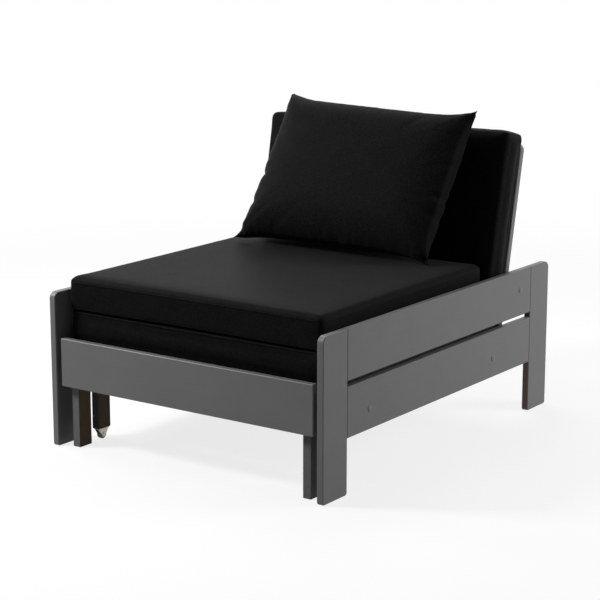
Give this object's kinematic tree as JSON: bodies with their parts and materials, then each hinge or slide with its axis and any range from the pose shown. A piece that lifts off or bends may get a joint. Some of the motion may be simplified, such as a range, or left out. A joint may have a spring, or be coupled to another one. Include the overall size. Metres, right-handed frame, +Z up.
{
  "type": "convertible chair bed",
  "caption": "Low slatted lounge chair with plank sides and loose foam sections, whose front pulls out on legs and casters into a single bed.",
  "frame": {"origin": "on the floor under the middle of the object's bounding box", "axes": "+Z up, -Y towards the front rail and the sitter's feet, +X to the right as seen from the front"},
  "size_m": [0.9752, 1.25, 0.9684],
  "materials": {
    "lacquered_wood": "satin grey lacquer",
    "pine": "planed bare softwood",
    "zinc_steel": "zinc plated",
    "cap_plastic": "satin",
    "wheel_nylon": "satin",
    "mattress_cover": "matte black woven cover",
    "pillow_cover": "matte black woven cover"
  },
  "bodies": {
    "frame": {"front_post_left": "lacquered_wood", "front_post_right": "lacquered_wood", "rear_post_left": "lacquered_wood", "rear_post_right": "lacquered_wood", "upper_side_board_left": "lacquered_wood", "upper_side_board_right": "lacquered_wood", "lower_side_board_left": "lacquered_wood", "lower_side_board_right": "lacquered_wood", "front_cross_beam": "lacquered_wood", "rear_cross_beam": "lacquered_wood", "back_rail": "lacquered_wood", "back_foot_batten": "lacquered_wood", "back_stile_left": "lacquered_wood", "back_stile_right": "lacquered_wood", "back_board_1": "lacquered_wood", "back_board_2": "lacquered_wood", "back_board_3": "lacquered_wood", "back_board_4": "lacquered_wood", "bolt_caps_left": "cap_plastic", "bolt_caps_right": "cap_plastic", "fixed_slats": "pine"},
    "middle_stage": {"middle_beam": "lacquered_wood", "caster_leg_left": "lacquered_wood", "caster_leg_right": "lacquered_wood", "middle_slats": "pine", "caster_bracket_left": "zinc_steel", "caster_bracket_right": "zinc_steel", "caster_axle_left": "zinc_steel", "caster_axle_right": "zinc_steel"},
    "front_stage": {"front_rail": "lacquered_wood", "front_leg_left": "lacquered_wood", "front_leg_right": "lacquered_wood", "front_cleat": "lacquered_wood", "front_slats": "pine"},
    "left_wheel": {"caster_wheel_left": "wheel_nylon"},
    "right_wheel": {"caster_wheel_right": "wheel_nylon"},
    "lower_seat": {"seat_section_lower": "mattress_cover"},
    "upper_seat": {"seat_section_upper": "mattress_cover"},
    "back_cushion": {"back_section": "mattress_cover"},
    "loose_pillow": {"pillow": "pillow_cover"}
  },
  "joints": [
    {"name": "middle_pull_out", "type": "slide", "parent": "frame", "child": "middle_stage", "axis": [0, -1, 0], "range_m": [0, 0.5075]},
    {"name": "front_pull_out", "type": "slide", "parent": "middle_stage", "child": "front_stage", "axis": [0, -1, 0], "range_m": [0, 0.5075]},
    {"name": "left_wheel_spin", "type": "hinge", "parent": "middle_stage", "child": "left_wheel", "pos_m": [-0.415, -0.489, 0.015], "axis": [1, 0, 0], "continuous": true},
    {"name": "right_wheel_spin", "type": "hinge", "parent": "middle_stage", "child": "right_wheel", "pos_m": [0.415, -0.489, 0.015], "axis": [1, 0, 0], "continuous": true},
    {"name": "lower_seat_lift", "type": "slide", "parent": "frame", "child": "lower_seat", "axis": [0, 0, 1], "range_m": [0, 0.35]},
    {"name": "upper_seat_lift", "type": "slide", "parent": "lower_seat", "child": "upper_seat", "axis": [0, 0, 1], "range_m": [0, 0.35]},
    {"name": "pillow_lift", "type": "slide", "parent": "upper_seat", "child": "loose_pillow", "axis": [0, 0, 1], "range_m": [0, 0.35]},
    {"name": "back_cushion_lift", "type": "slide", "parent": "frame", "child": "back_cushion", "axis": [0, 0.2079, 0.9781], "range_m": [0, 0.35]}
  ]
}
